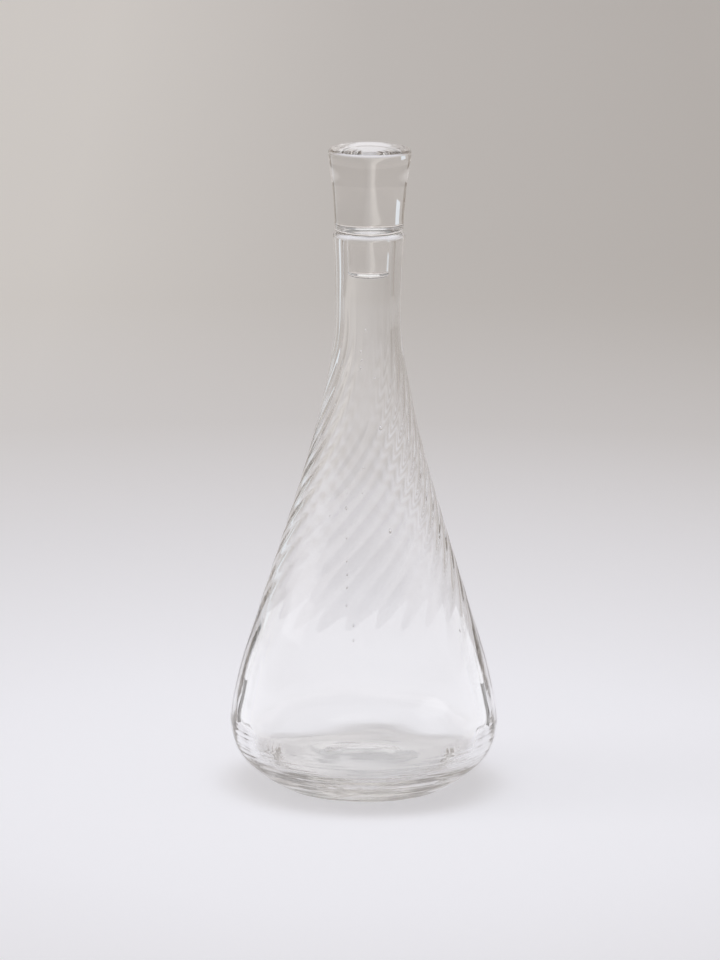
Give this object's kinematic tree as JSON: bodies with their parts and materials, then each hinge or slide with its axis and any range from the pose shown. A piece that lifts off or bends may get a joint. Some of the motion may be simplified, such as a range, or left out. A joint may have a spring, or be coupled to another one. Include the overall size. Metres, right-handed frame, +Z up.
{
  "type": "wine decanter",
  "caption": "Tall clear glass decanter with a wide ribbed bowl, a twisting ribbed cone, a slim neck and a solid flared glass stopper that lifts out.",
  "frame": {"origin": "centre of the base, on the surface that the decanter stands on", "axes": "+Z up along the axis of the decanter, from the base to the stopper; the body is round about +Z"},
  "size_m": [0.124, 0.124, 0.299],
  "materials": {
    "decanter_glass": "clear blown glass, fire polished, with optic ribs",
    "stopper_glass": "clear solid glass, fire polished"
  },
  "bodies": {
    "decanter": {"decanter_body": "decanter_glass"},
    "stopper": {"stopper": "stopper_glass"}
  },
  "joints": [
    {"name": "stopper_lift", "type": "slide", "parent": "decanter", "child": "stopper", "axis": [0, 0, 1], "range_m": [0, 0.06]}
  ]
}
